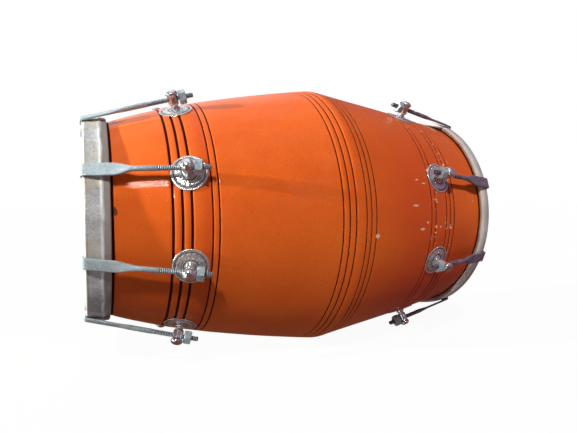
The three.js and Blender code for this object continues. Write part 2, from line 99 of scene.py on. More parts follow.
class Finish:
    def __init__(self, owner, patterns=None):
        owner.use_nodes = True
        self.owner = owner
        self.patterns = patterns
        self.tree = owner.node_tree
        self.tree.nodes.clear()

    def add(self, kind, settings=None, inputs=None, out=0):
        node = self.tree.nodes.new(kind)
        for name, value in (settings or {}).items():
            if name == "stops":
                self.setStops(node.color_ramp, value)
            else:
                setattr(node, name, value)
        for name, value in (inputs or {}).items():
            socket = node.inputs[name]
            if isinstance(value, Wire):
                self.tree.links.new(value.socket, socket)
            elif hasattr(socket, "default_value"):
                if isinstance(value, tuple) and socket.type == "RGBA" and len(value) == 3:
                    value = (*value, 1)
                socket.default_value = value
        return Wire(self, node.outputs[out]) if len(node.outputs) else node

    def setStops(self, ramp, stops):
        while len(ramp.elements) < len(stops):
            ramp.elements.new(0.5)
        for element, (place, shade) in zip(ramp.elements, stops):
            element.position = place
            element.color = (*shade, 1)

    def place(self, scale=(1, 1, 1), location=(0, 0, 0)):
        whole = self.add("ShaderNodeTexCoord", out="Object")
        inputs = {"Vector": whole, "Scale": scale, "Location": location}
        return self.add("ShaderNodeMapping", inputs=inputs)

    def noise(self, name):
        scale, detail, roughness, stretch = (*self.patterns[name], (1, 1, 1))[:4]
        return self.add("ShaderNodeTexNoise", inputs={
            "Vector": self.place(stretch), "Scale": scale, "Detail": detail,
            "Roughness": roughness})

    def spots(self, name):
        scale, stretch = (*self.patterns[name], (1, 1, 1))[:2]
        inputs = {"Vector": self.place(stretch), "Scale": scale}
        return self.add("ShaderNodeTexVoronoi", inputs=inputs)

    def attribute(self, name):
        return self.add("ShaderNodeAttribute", {"attribute_name": name}, out="Fac")

    def near(self, centre, size):
        # 1 at a point of the piece, falling to 0 at the given distances along each axis
        scale = tuple(1 / (mm * length) for length in size)
        shift = tuple(-place * mm * share for place, share in zip(centre, scale))
        offset = self.place(scale, shift)
        reach = self.add("ShaderNodeVectorMath", {"operation": "LENGTH"}, {0: offset}, "Value")
        return 1 - reach

    def mix(self, share, first, second, blend="MIX"):
        # the node's sockets for colours are inputs 6 and 7 and output 2
        return self.add(
            "ShaderNodeMix", {"data_type": "RGBA", "blend_type": blend},
            {0: share, 6: first, 7: second}, 2)

    def ramp(self, share, stops):
        return self.add("ShaderNodeValToRGB", {"stops": stops}, {0: share})

    def bump(self, height, strength, distance, normal=None):
        inputs = {"Height": height, "Strength": strength, "Distance": distance}
        if normal:
            inputs["Normal"] = normal
        return self.add("ShaderNodeBump", inputs=inputs)

    def close(self, sockets):
        surface = self.add("ShaderNodeBsdfPrincipled", inputs=sockets)
        self.add("ShaderNodeOutputMaterial", inputs={"Surface": surface})
        return self.owner


# Noise: scale, detail, roughness and, where it is drawn out, its stretch along each axis.
# Spots: scale and stretch.
patterns = {
    "wood": {
        "grain": (760, 3, 0.6, (0.035, 1, 1)), "fineGrain": (2200, 2, 0.5, (0.02, 1, 1)),
        "blotch": (13, 3, 0.55, (0.6, 1, 1)), "cloud": (46, 2, 0.5),
        "flakes": (260, (0.7, 1, 1)), "patches": (110, 2, 0.6), "ragged": (430, 3, 0.65),
        "resinEdge": (240, 3, 0.6), "ripple": (70, 2, 0.45, (0.5, 1, 1)),
        "peel": (950, 1, 0.5), "droplets": (820, 2, 0.6), "glints": (1000, 1, 0.5),
    },
    "hide": {
        "mottle": (48, 4, 0.62, (0.6, 1, 1)), "speckle": (520, 3, 0.65),
        "patch": (26, 3, 0.5, (0.5, 1, 1)), "cold": (34, 2, 0.5, (0.7, 1, 1)),
        "fibre": (900, 2, 0.5, (1, 0.14, 0.14)), "crestBreaks": (60, 2, 0.6),
        "seamBreaks": (40, 2, 0.5), "pores": (1300,), "poreBreaks": (160, 2, 0.5),
        "wrinkle": (150, 4, 0.6, (0.35, 1, 1)),
    },
    "zinc": {
        "cloud": (70, 3, 0.6), "grit": (1500, 3, 0.7), "coarse": (520, 3, 0.6),
        "pits": (620,), "pitBreaks": (210, 2, 0.5), "scratch": (900, 2, 0.6, (0.12, 1, 1)),
    },
    "chrome": {"smear": (120, 3, 0.6), "dust": (900, 3, 0.7), "specks": (500,)},
    "steel": {"drawn": (600, 3, 0.6, (1, 0.1, 0.1)), "rust": (60, 4, 0.65)},
    "paste": {"lump": (90, 4, 0.6), "cracks": (160,)},
}


def newFinish(name, kind=None):
    return Finish(bpy.data.materials.new(name), patterns.get(kind))


def lacquer(settings):
    f = newFinish("orangeLacquer", "wood")
    grain = f.noise("grain")
    fineGrain = f.noise("fineGrain")
    blotch = f.noise("blotch")
    cloud = f.noise("cloud")
    tone = f.ramp(blotch * 0.55 + grain * 0.3 + cloud * 0.15, settings["tones"])
    streaks = (grain * fineGrain).above(0.26, 0.42) * 0.45
    wood = f.mix(streaks, tone, settings["vein"])
    # darken the wood with broad patches of painted shade
    for centre, size, shade, weight in settings["paintedShadePatches"]:
        wood = f.mix(f.near(centre, size).above(0, 0.8) * weight, wood, shade)
    # a redder band of painted shade, as if under a small step, before the thin pair of grooves
    wood = f.mix(f.attribute("redBand") * (0.6 + 0.4 * blotch), wood, settings["redBand"])
    # the groove stain, and along each hoop the painted shadow where the hoop meets the wood
    darkened = f.attribute("groove").above(0.04, 0.5)
    wood = f.mix(darkened, wood, settings["grooveStainAndHoopShadow"])

    flakes = 1 - f.spots("flakes").above(0.2, 0.42)
    bare = f.attribute("wear") * flakes * f.noise("patches").above(0.57, 0.66)
    ragged = f.noise("ragged")
    for *centre, wide, high in settings["nicks"]:
        reach = [settings["nickSpread"] * size for size in (wide, settings["nickDepth"], high)]
        bare = bare.orMore((f.near(centre, reach) + ragged - 0.5).above(0.18, 0.5))
    wood = f.mix(bare * 0.85, wood, settings["bareWood"])
    resin = (f.near(*settings["resinSpot"]) + f.noise("resinEdge") - 0.5).above(0.15, 0.4)
    wood = f.mix(resin * 0.8, wood, settings["resin"])

    droplets = f.noise("droplets").above(0.47, 0.58)
    glints = f.attribute("stepEdge") * f.noise("glints").above(0.56, 0.66)
    normal = f.bump(grain * 0.5 + fineGrain * 0.2, 0.14, 0.0004)
    normal = f.bump(f.noise("ripple"), 0.1, 0.0022, normal)
    normal = f.bump(f.noise("peel"), 0.4, 0.0005, normal)
    normal = f.bump(glints - 0.8 * bare, 0.6, 0.0006, normal)
    return f.close({
        "Base Color": wood,
        "Roughness": 0.3 + cloud * 0.12 + 0.3 * bare + darkened * 0.25,
        "Specular IOR Level": 0.1,
        "Coat Weight": (1 - 0.92 * bare) * (1 - 0.92 * darkened) * (0.1 + 0.34 * droplets),
        "Coat Roughness": 0.07,
        "Normal": normal,
    })


def rawHide(name, settings):
    f = newFinish(name, "hide")
    mottle = f.noise("mottle")
    speckle = f.noise("speckle")
    hide = f.ramp(mottle * 0.62 + speckle * 0.38, settings["tones"])
    pores = 1 - f.spots("pores").above(0.1, 0.28)
    layers = [
        (f.noise("patch").above(0.5, 0.64) * 0.6, "patch"),
        (f.noise("cold").above(0.5, 0.62) * 0.6, "cold"),
        # the band behind the crest: painted shade on the treble hide, painted sunlight on the bass
        # hide
        (f.attribute("backBand") * (0.45 + 0.5 * mottle), "back"),
        # the crest: a line of painted highlight along the hide's crease
        (f.attribute("crest") * (0.4 + 0.6 * f.noise("crestBreaks").above(0.38, 0.56)), "crest"),
        (f.attribute("frontEdge") * 0.8, "front"),
        (f.attribute("seam") * f.noise("seamBreaks").above(0.42, 0.6) * 0.7, "pore"),
        (f.attribute("face") * (0.55 + 0.4 * mottle), "face"),
        (pores * f.noise("poreBreaks").above(0.5, 0.62) * 0.45, "pore"),
    ]
    for share, shade in layers:
        hide = f.mix(share, hide, settings[shade])
    normal = f.bump(f.noise("wrinkle") + f.noise("fibre") * 0.35, 0.45, 0.0011)
    normal = f.bump(speckle, 0.3, 0.0003, normal)
    return f.close({
        "Base Color": hide,
        "Roughness": 0.5 + 0.3 * speckle,
        "Specular IOR Level": 0.4,
        "Normal": normal,
    })


def zinc(name, settings):
    f = newFinish(name, "zinc")
    grit = f.noise("grit")
    coarse = f.noise("coarse")
    pitted = (1 - f.spots("pits").above(0.12, 0.3)) * f.noise("pitBreaks").above(0.5, 0.6)
    tone = f.ramp(f.noise("cloud") * 0.4 + grit * 0.3 + coarse * 0.3, settings["tones"])
    tone = f.mix(pitted * 0.8, tone, settings["pitsAndValleyShade"])
    # painted shade in the thread's valleys, in the same dark colour as the pits
    valley = f.attribute("valley").above(0.06, 0.42)
    tone = f.mix(valley * 0.92, tone, settings["pitsAndValleyShade"])
    normal = f.bump(coarse + grit * 0.5, 0.3, 0.0004)
    normal = f.bump(f.noise("scratch") - pitted, 0.3, 0.0003, normal)
    return f.close({
        "Base Color": tone,
        "Metallic": settings["metal"] - 0.2 * pitted,
        "Roughness": 0.42 + 0.26 * grit,
        "Normal": normal,
    })


def chrome(name, settings):
    f = newFinish(name, "chrome")
    smear = f.noise("smear")
    dust = f.noise("dust")
    hollow = f.attribute("hollow")
    specks = (1 - f.spots("specks").above(0.1, 0.22)) * smear.above(0.52, 0.6)
    tone = f.ramp(smear, settings["tones"])
    # painted shade in the rosette's trough and moat, and real specks of grime below
    tone = f.mix(hollow * (0.55 + 0.45 * dust), tone, settings["grimeAndHollowShade"])
    tone = f.mix(specks * 0.7, tone, settings["grimeAndHollowShade"])
    return f.close({
        "Base Color": tone,
        "Metallic": settings["metal"] - 0.35 * specks - 0.3 * hollow,
        "Roughness": settings["roughness"] + 0.1 * smear + hollow * 0.25 + 0.2 * specks,
        "Normal": f.bump(dust * 0.4 + smear, 0.12, 0.0003),
    })


def plainSteel(settings):
    f = newFinish("hoopSteel", "steel")
    drawn = f.noise("drawn")
    rust = f.noise("rust").above(0.5, 0.66)
    return f.close({
        "Base Color": f.mix(rust * 0.7, f.ramp(drawn, settings["tones"]), settings["rust"]),
        "Metallic": 0.95 - 0.7 * rust,
        "Roughness": 0.35 + 0.3 * rust,
        "Normal": f.bump(drawn + rust, 0.3, 0.0003),
    })


def darkPaste(settings):
    f = newFinish("tuningPaste", "paste")
    lump = f.noise("lump")
    cracks = f.spots("cracks")
    return f.close({
        "Base Color": f.ramp(lump * 0.7 + cracks * 0.3, settings["tones"]),
        "Roughness": 0.45 + 0.3 * lump,
        "Normal": f.bump(lump + cracks * 0.5, 0.5, 0.0008),
    })


finishes = {
    "wood": lacquer({
        "tones": [(0.3, (0.68, 0.1, 0.011)), (0.5, (0.82, 0.138, 0.016)),
                  (0.68, (0.9, 0.17, 0.022))],
        "vein": (0.5, 0.06, 0.008),
        "redBand": (0.62, 0.075, 0.012),
        # painted shade: broad darker patches where the drum lies in shade; middle, reach, shade and
        # weight
        "paintedShadePatches": [((150, -85, 70), (150, 110, 95), (0.6, 0.045, 0.02), 0.75),
                   ((105, -105, 170), (85, 90, 110), (0.66, 0.07, 0.016), 0.65),
                   ((-150, -70, 80), (95, 110, 70), (0.5, 0.07, 0.006), 0.6)],
        "grooveStainAndHoopShadow": (0.045, 0.004, 0.002),
        "bareWood": (0.95, 0.62, 0.45),
        "resin": (0.04, 0.015, 0.005),
        # bare marks on the side that the photograph shows: middle, then reach along and up
        "nicks": [
            (96.7, -137, 161, 4.6, 1.3), (106.6, -135, 136.3, 4, 1.5),
            (114.3, -134.5, 143.1, 1.9, 1.4), (127.9, -132, 137.9, 1.2, 1.7),
            (135, -131, 137.7, 1, 1.5), (144.3, -129, 135.4, 1.4, 0.8),
            (152.3, -128, 135.8, 1.4, 1.6), (192.6, -118, 164.6, 2.6, 1),
            (102, -130.6, 187.6, 2.4, 0.9), (111.6, -130.3, 183.9, 2.8, 0.8),
            (44.3, -144, 132.1, 2.6, 2.4), (125.7, -85.7, 249.6, 2.4, 0.8),
            (147.5, -84.2, 246.3, 3.4, 0.7), (121.6, -123.6, 198.2, 1.2, 2.2),
            (202.3, -113.7, 123.5, 1.3, 0.9)],
        "nickSpread": 1.35,
        "nickDepth": 3,
        "resinSpot": ((-190, -98.5, 158), (3, 4, 5)),
    }),
    "trebleHide": rawHide("trebleHide", {
        "tones": [(0.34, (0.27, 0.26, 0.235)), (0.46, (0.47, 0.475, 0.46)),
                  (0.58, (0.68, 0.71, 0.72))],
        # back: painted shade on the band behind the crease
        "patch": (0.6, 0.55, 0.43), "cold": (0.54, 0.63, 0.69), "back": (0.27, 0.225, 0.18),
        # crest: painted highlight along the crease
        "crest": (0.97, 0.98, 1.0), "front": (0.95, 0.93, 0.82), "face": (0.36, 0.31, 0.24),
        "pore": (0.2, 0.17, 0.13),
    }),
    "bassHide": rawHide("bassHide", {
        "tones": [
            (0.32, (0.19, 0.155, 0.165)), (0.46, (0.37, 0.32, 0.33)), (0.6, (0.56, 0.5, 0.52))],
        # back: painted light where the sun falls on the band's inner side
        "patch": (0.56, 0.49, 0.38), "cold": (0.46, 0.41, 0.47), "back": (0.8, 0.75, 0.62),
        # crest: a faint painted highlight along the crease
        "crest": (0.6, 0.55, 0.57), "front": (0.5, 0.46, 0.46), "face": (0.42, 0.37, 0.29),
        "pore": (0.2, 0.17, 0.14),
    }),
    "trebleZinc": zinc("trebleZinc", {
        "tones": [(0.32, (0.26, 0.31, 0.33)), (0.5, (0.45, 0.55, 0.59)), (0.66, (0.6, 0.76, 0.81))],
        "pitsAndValleyShade": (0.02, 0.018, 0.018), "metal": 0.35,
    }),
    # a darker, violet copy of the treble zinc for the bass hooks: painted shade and painted violet
    # reflection
    "bassZinc": zinc("bassZinc", {
        "tones": [(0.32, (0.13, 0.11, 0.15)), (0.5, (0.25, 0.21, 0.28)),
                  (0.66, (0.42, 0.38, 0.46))],
        "pitsAndValleyShade": (0.03, 0.024, 0.03), "metal": 0.5,
    }),
    "capChrome": chrome("capChrome", {
        "tones": [(0.35, (0.6, 0.6, 0.61)), (0.6, (0.86, 0.86, 0.88))],
        "grimeAndHollowShade": (0.05, 0.04, 0.035), "metal": 0.98, "roughness": 0.08,
    }),
    "pressedChrome": chrome("pressedChrome", {
        "tones": [(0.35, (0.62, 0.62, 0.62)), (0.6, (0.84, 0.84, 0.84))],
        "grimeAndHollowShade": (0.035, 0.026, 0.022), "metal": 0.75, "roughness": 0.2,
    }),
    "steel": plainSteel({
        "tones": [(0.3, (0.2, 0.2, 0.21)), (0.7, (0.42, 0.43, 0.45))],
        "rust": (0.16, 0.06, 0.025),
    }),
    "paste": darkPaste({"tones": [(0.3, (0.012, 0.009, 0.007)), (0.7, (0.05, 0.042, 0.035))]}),
}
print("finishes made")


# Shapes shared by the pieces

def smoothstep(value, low, high):
    share = min(max((value - low) / (high - low), 0), 1)
    return share * share * (3 - 2 * share)


def ridge(value, start, rise, fall, end):
    # 1 between rise and fall, easing to 0 at the start and at the end
    return smoothstep(value, start, rise) * (1 - smoothstep(value, fall, end))


def softened(points, steps):
    # a smooth curve through (along, radius) points, with the given steps between each pair
    curve = []
    for i in range(len(points) - 1):
        a, b, c, d = (Vector(points[min(max(i + k, 0), len(points) - 1)]) for k in (-1, 0, 1, 2))
        for step in range(steps):
            t = step / steps
            curve.append(0.5 * (2 * b + (c - a) * t + (2 * a - 5 * b + 4 * c - d) * t * t
                                + (3 * b - a - 3 * c + d) * t ** 3))
    return [tuple(point) for point in curve] + [tuple(points[-1])]


def thickened(path, half):
    # both sides of a line of (along, radius) points, as one closed outline
    sides = {1: [], -1: []}
    for i, point in enumerate(path):
        here = Vector(point)
        before = here - Vector(path[i - 1]) if i else None
        after = Vector(path[i + 1]) - here if i < len(path) - 1 else before
        before = (before or after).normalized()
        after = after.normalized()
        middle = (before + after).normalized()
        away = Vector((-middle.y, middle.x))
        stretch = half / max(abs(away.dot(Vector((-before.y, before.x)))), 0.5)
        for side in sides:
            sides[side].append(tuple(here + away * stretch * side))
    return sides[1] + sides[-1][::-1]


def turn(bm, outline, steps, aboutZ=False):
    # a solid turned from (along, radius) points about X, or from (height, radius) points about Z
    corners = [bm.verts.new((radius, 0, along) if aboutZ else (along, 0, radius))
               for along, radius in outline]
    edges = [bm.edges.new(pair) for pair in zip(corners, corners[1:])]
    if outline[0][1] > 0.01 or outline[-1][1] > 0.01:
        edges.append(bm.edges.new((corners[-1], corners[0])))
    bmesh.ops.spin(
        bm, geom=corners + edges, cent=(0, 0, 0), axis=(0, 0, 1) if aboutZ else (1, 0, 0),
        dvec=(0, 0, 0), angle=math.tau, steps=steps, use_merge=True, use_duplicate=False)
    bmesh.ops.remove_doubles(bm, verts=bm.verts, dist=0.002)
    bmesh.ops.recalc_face_normals(bm, faces=bm.faces)


def newRing(bm, sides):
    # a circle of radius 1: its vertices with their angles, and its edges
    verts = bmesh.ops.create_circle(bm, cap_ends=False, segments=sides, radius=1)["verts"]
    angles = {vert: math.atan2(vert.co.y, vert.co.x) for vert in verts}
    return angles, [edge for edge in bm.edges if all(vert in angles for vert in edge.verts)]


def bridge(bm, loops):
    for first, second in zip(loops, loops[1:]):
        bmesh.ops.bridge_loops(bm, edges=first + second)


def finished(bm, name, material, sharpAngle=34):
    # closes a bmesh in millimetres into a named object in metres, with its sharp edges marked
    bmesh.ops.scale(bm, verts=bm.verts, vec=(mm, mm, mm))
    bm.normal_update()
    for face in bm.faces:
        face.smooth = True
    for edge in bm.edges:
        if len(edge.link_faces) == 2:
            edge.smooth = edge.calc_face_angle(0) < math.radians(sharpAngle)
    mesh = bpy.data.meshes.new(name)
    bm.to_mesh(mesh)
    bm.free()
    mesh.materials.append(material)
    piece = bpy.data.objects.new(name, mesh)
    bpy.context.scene.collection.objects.link(piece)
    return piece


def toWorld(bm, along=0):
    bmesh.ops.translate(bm, verts=bm.verts, vec=(along, 0, drum["axisHeight"]))


def newLayers(bm, *names):
    return {name: bm.verts.layers.float.new(name) for name in names}


# Shell: turned barrel with its grooves

shell = {
    "steps": 224,
    "outline": [
        (0, 0.6192), (0.0476, 0.6595), (0.0696, 0.684), (0.1027, 0.717), (0.1629, 0.7715),
        (0.1979, 0.8), (0.238, 0.8285), (0.2832, 0.859), (0.3985, 0.926), (0.4857, 0.9696),
        (0.5398, 0.994), (0.5599, 1), (0.5819, 0.9905), (0.6411, 0.9645), (0.7594, 0.9145),
        (0.8185, 0.888), (0.8787, 0.8575), (0.9619, 0.8132), (1, 0.7945)],
    "grooves": [
        # first one's share of the length, count, spacing, width, depth
        (0.1631, 3, 7.7, 3.0, 1.15), (0.2386, 2, 5.7, 1.9, 0.75), (0.5126, 3, 6.4, 1.7, 0.7),
        (0.5692, 3, 6.3, 1.7, 0.7), (0.7816, 2, 6.5, 1.8, 0.7), (0.838, 3, 6.6, 2.0, 0.8)],
    "rimInset": 4.6, "rimRound": 2.2, "rimWall": 7.5, "wall": 12, "rimTaper": 26,
    "pointSpacing": 2.4, "innerSteps": 24,
    "grooveClear": 0.62,    # shares of a groove's width
    "grooveReach": 0.55,
    "grooveSteps": 5,
    "grooveCurve": 0.7,
    "edgeSteps": (-0.6, 0, 0.8, 3),
    "wideGroove": 2.4,    # a groove above this width is stained to its edges
    "wearNear": (1.5, 4),
    "wearAlong": (235, 330),
    # where the band of painted shade starts and ends along the drum
    "redBand": (86.5, 101),
    # each hoop's dark edge on the wood is painted shadow
    "hoopShadowReach": (23.6, 416.7),     # how far each hoop's dark edge reaches onto the wood
}
stations = [(share * drum["length"], radius * drum["axisHeight"])
            for share, radius in shell["outline"]]


def stationSlope(i):
    before = stations[max(i - 1, 0)]
    after = stations[min(i + 1, len(stations) - 1)]
    return (after[1] - before[1]) / (after[0] - before[0])


def shellRadius(along):
    i = 0
    while i < len(stations) - 2 and stations[i + 1][0] < along:
        i += 1
    (start, low), (end, high) = stations[i], stations[i + 1]
    run = end - start
    t = (along - start) / run
    rise = high - low
    startBend = stationSlope(i) * run - rise
    endBend = rise - stationSlope(i + 1) * run
    return low + t * rise + t * (1 - t) * ((1 - t) * startBend + t * endBend)


grooveMiddles = []
for share, count, spacing, width, depth in shell["grooves"]:
    for i in range(count):
        grooveMiddles.append((share * drum["length"] + i * spacing, width, depth))


def grooveCut(along):
    # how deep a groove is here, as millimetres and as a share of its depth
    for middle, width, depth in grooveMiddles:
        away = abs(along - middle) / (width * 0.5)
        if away < 1:
            share = (0.5 + 0.5 * math.cos(math.pi * away)) ** shell["grooveCurve"]
            return depth * share, share
    return 0, 0


def grooveWidth(along):
    # the width of the nearest groove
    return min((abs(along - middle), width) for middle, width, _ in grooveMiddles)[1]


def shellOutline():
    rim, rimRound = shell["rimInset"], shell["rimRound"]
    last = drum["length"] - rim
    places = set()
    along = rim + rimRound
    while along < last - rimRound:
        if all(abs(along - middle) > width * shell["grooveClear"]
               for middle, width, _ in grooveMiddles):
            places.add(round(along, 3))
        along += shell["pointSpacing"]
    steps = shell["grooveSteps"]
    for middle, width, _ in grooveMiddles:
        for step in range(-steps, steps + 1):
            places.add(round(middle + width * shell["grooveReach"] * step / steps, 3))
    for edge in (shell["redBand"][1], *shell["hoopShadowReach"]):
        places.update(edge + step for step in shell["edgeSteps"])
    outer = [(place, shellRadius(place) - grooveCut(place)[0]) for place in sorted(places)]
    start = [(rim, shellRadius(rim) - rimRound - 3), (rim, shellRadius(rim) - rimRound),
             (rim + rimRound * 0.3, shellRadius(rim) - rimRound * 0.28)]
    end = [(last - rimRound * 0.3, shellRadius(last) - rimRound * 0.28),
           (last, shellRadius(last) - rimRound), (last, shellRadius(last) - rimRound - 3)]
    inner = []
    steps = shell["innerSteps"]
    for step in range(steps, -1, -1):
        place = rim + 6 + (last - rim - 12) * step / steps
        full = min(min(place - rim, last - place) / shell["rimTaper"], 1)
        wall = shell["rimWall"] + (shell["wall"] - shell["rimWall"]) * full
        inner.append((place, shellRadius(place) - wall))
    return start + outer + end + inner


def makeShell():
    bm = bmesh.new()
    turn(bm, shellOutline(), shell["steps"])
    layers = newLayers(bm, "groove", "redBand", "stepEdge", "wear")
    low, high = shell["redBand"]
    left, right = shell["hoopShadowReach"]
    for vert in bm.verts:
        along = vert.co.x
        share = grooveCut(along)[1]
        darkened = share if grooveWidth(along) > shell["wideGroove"] else 0.9 * share ** 1.3
        # darkening in the grooves, and painted shadow next to each hoop
        vert[layers["groove"]] = max(darkened, 1 - ridge(along, left - 0.6, left, right, right + 0.6))
        vert[layers["redBand"]] = ridge(along, low, high, high, high + 0.8)
        vert[layers["stepEdge"]] = ridge(along, high - 1, high, high + 1, high + 3)
        nearest = min(abs(along - middle) for middle, _, _ in grooveMiddles)
        fresh = smoothstep(nearest, *shell["wearNear"])
        vert[layers["wear"]] = (1 - fresh) * smoothstep(along, *shell["wearAlong"])
    toWorld(bm, -drum["length"] / 2)
    piece = finished(bm, "turnedShell", finishes["wood"], 50)
    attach(piece, "drum")
    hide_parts("shell")


makeShell()
print("shell made")


# Heads: hide stretched flat inside the hoop and wrapped round it

heads = {
    "steps": 200,
    "skin": 0.8, "membraneInset": 3.88, "cornerRound": 1.4, "ring": 2.8,
    "buckle": 0.3,    # the hide's unevenness: height and waves along each axis
    "buckleWaves": (0.05, 0.045, 0.045),
    "faceBuckle": 0.12,
    "backCorner": [(-0.5, 0.05), (0, 0.6)],
    "backShoulder": 2.4, "frontShoulder": 1.9, "frontFoot": 1.8,
    "crestWander": 1.3, "crestWidth": 1.5, "seamPlace": 2.2, "seamWidth": 0.8,
    "treble": {
        "seed": (17, 5, 3),
        "faceRings": (0, 8, 20, 35, 50, 65, 78, 88),
        "width": 21.2, "front": 101.516, "back": 103.316, "crest": 14.3,
        "band": [(0.5, -0.95), (0.95, -0.42), (2.2, -0.2), (5, -0.2), (9, -0.15), (12.4, 0.1),
                 (13.7, 0.48), (14.5, 0.56), (15.4, 0.26), (17.2, -0.2), (19.4, -0.45),
                 (20.4, -0.75), (20.8, -1.5)],
    },
    "bass": {
        "seed": (41, 9, 7),
        "faceRings": (0, 8, 20, 35, 50, 65, 78, 88, 104),
        "width": 10.7, "front": 125.186, "back": 124.986, "crest": 5.5,
        "band": [(0.5, -0.95), (0.95, -0.42), (2, -0.1), (4, 0.12), (6, 0.16), (8, 0),
                 (9.3, -0.3), (9.9, -0.7), (10.3, -1.5)],
    },
}


def headPath(end):
    # the hide's middle line, and the wrap's outer and inner radius at any place along the drum
    sizes = heads[end]
    inset, half = heads["membraneInset"], heads["skin"] / 2
    slope = (sizes["back"] - sizes["front"]) / sizes["width"]
    under = heads["skin"] + 2 * drum["seatGap"] + heads["ring"] + half

    def outside(place):
        return sizes["front"] + slope * place

    def inside(place):
        return outside(place) - under

    back = sizes["width"] - half
    bend = heads["cornerRound"]
    path = [(inset, radius) for radius in sizes["faceRings"]]
    path += [(inset, inside(inset) - bend * 2), (inset, inside(inset) - bend),
             (inset + bend * 0.3, inside(inset) - bend * 0.3), (inset + bend, inside(inset + bend))]
    for share in (0.4, 0.7):
        place = inset + share * (back - inset)
        path.append((place, inside(place)))
    path += [(back + step, inside(back) + lift) for step, lift in heads["backCorner"]]
    path.append((back, outside(back) - heads["backShoulder"]))
    band = [(place, outside(place) + lift - half) for place, lift in reversed(sizes["band"])]
    path += softened(band, 2)
    path += [(half, outside(half) - heads["frontShoulder"]),
             (half, inside(half) + heads["frontFoot"]), (half, inside(half) + half)]
    return path, outside, inside


def makeHead(end):
    sizes = heads[end]
    path, outside, inside = headPath(end)
    bm = bmesh.new()
    turn(bm, thickened(path, heads["skin"] / 2), heads["steps"])
    layers = newLayers(bm, "backBand", "crest", "frontEdge", "seam", "face")
    seed = Vector(sizes["seed"])
    for vert in bm.verts:
        along = vert.co.x
        around = Vector((0, vert.co.y, vert.co.z))
        radius = around.length
        if radius > inside(along) + 1:
            waves = [place * wave for place, wave in zip(vert.co, heads["buckleWaves"])]
            spot = Vector(waves) + seed
            push = noise.noise(spot) + 0.5 * noise.noise(spot * 2.7)
            vert.co += around.normalized() * push * heads["buckle"] * smoothstep(along, 0, 3)
            wander = heads["crestWander"] * noise.noise(around * 0.05 + seed)
            crestPlace = sizes["crest"] + wander
            onBand = smoothstep(radius, outside(along) - 2, outside(along) - 1)
            fromCrest = abs(along - crestPlace) / heads["crestWidth"]
            fromSeam = abs(along - heads["seamPlace"]) / heads["seamWidth"]
            # where the painted highlight runs along the crease
            vert[layers["crest"]] = onBand * max(0, 1 - fromCrest)
            vert[layers["backBand"]] = onBand * smoothstep(along, crestPlace + 0.8, crestPlace + 2)
            vert[layers["frontEdge"]] = 1 - smoothstep(along, 0.9, 2)
            vert[layers["seam"]] = onBand * max(0, 1 - fromSeam)
        vert[layers["face"]] = 1 - smoothstep(radius, inside(along) - 6, inside(along) - 1)
        if inside(along) * 0.7 < radius <= inside(along) + 1:
            wave = noise.noise(around * 0.06 + seed) * heads["faceBuckle"]
            wave *= smoothstep(radius, inside(along) * 0.7, inside(along) * 0.9)
            vert.co.x += wave * (1 - smoothstep(along, 4.5, 6))
    if end == "bass":
        bmesh.ops.rotate(
            bm, verts=bm.verts, cent=(0, 0, 0), matrix=Matrix.Rotation(math.pi, 3, "Z"))
    toWorld(bm, -senses[end] * drum["length"] / 2)
    piece = finished(bm, end + "Hide", finishes[end + "Hide"], 60)
    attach(piece, "drum")
    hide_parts(end + "_head")


for end in senses:
    makeHead(end)
print("heads made")


# Where each rod lies, read from the frame's joints

def lieOf(end, number):
    joint = joints[f"{end}_nut_turn_{number}"]
    sense = senses[end]
    along = Vector(joint["axis"]).normalized()
    nut = Vector(joint["pos_m"]) / mm - Vector((0, 0, drum["axisHeight"]))
    origin = nut - along * (drum["nutFace"] + drum["nutThickness"] / 2)
    front = -sense * drum["length"] / 2
    start = origin + along * ((front - origin.x) / along.x)
    outward = Vector((0, start.y, start.z)).normalized()
    edge = Vector((sense, 0, 0)).cross(outward)
    up = along.cross(edge).normalized()
    if up.dot(outward) < 0:
        up.negate()
    across = up.cross(along)
    if edge.dot(across) < 0:
        edge.negate()
    corner = outward * drum["frontRadius"][end] + Vector((front, 0, 0)) - origin
    skew = edge.dot(along) / edge.dot(across)
    tilt = math.atan2(-up.x * sense, along.x * sense)
    return {
        "matrix": Matrix.Translation(origin) @ Matrix((along, across, up)).transposed().to_4x4(),
        "along": along, "origin": origin, "skew": skew, "tilt": tilt,
        "corner": corner.dot(along) - corner.dot(across) * skew,
        "sense": sense,
    }


# Hooks: a flat lipped strip drawn out to a round rod with a cut thread

hook = {
    "sides": 28,
    "stripWidth": 11.8,
    "widths": {"treble_hook_2": 10.4, "treble_hook_3": 11.6},
    "lipLength": 5,
    "cornerSharpness": 7, "taperStart": 24.5, "taperEnd": 42.5, "plainRadius": 2.4,
    "threadStart": -25, "tip": 19.92, "pitch": 1.5, "threadRadius": 2.5, "threadDepth": 0.72,
    "threadSteps": 16,
    "threadForm": [(0.34, 0.08), (0.5, 0), (0.66, 0.08)],   # shares of the pitch, and drops
    "neckRadius": 1.9,
    "toeRings": [(0, 0.86), (0.35, 0.96), (1, 1), (2.2, 1)],    # from the toe, and share of width
    "bendSteps": 6, "bendReach": 1.5,
    "stripPlaces": [2.2, 5, 8, 11, 14, 17, 20, 23, 25, 27, 29, 31, 33, 35, 37, 39, 40.5, 42, 43.5],
    "forgedWidth": 0.35, "forgedLift": 0.12, "tipBevel": 0.75, "tipSlope": 0.9,
}


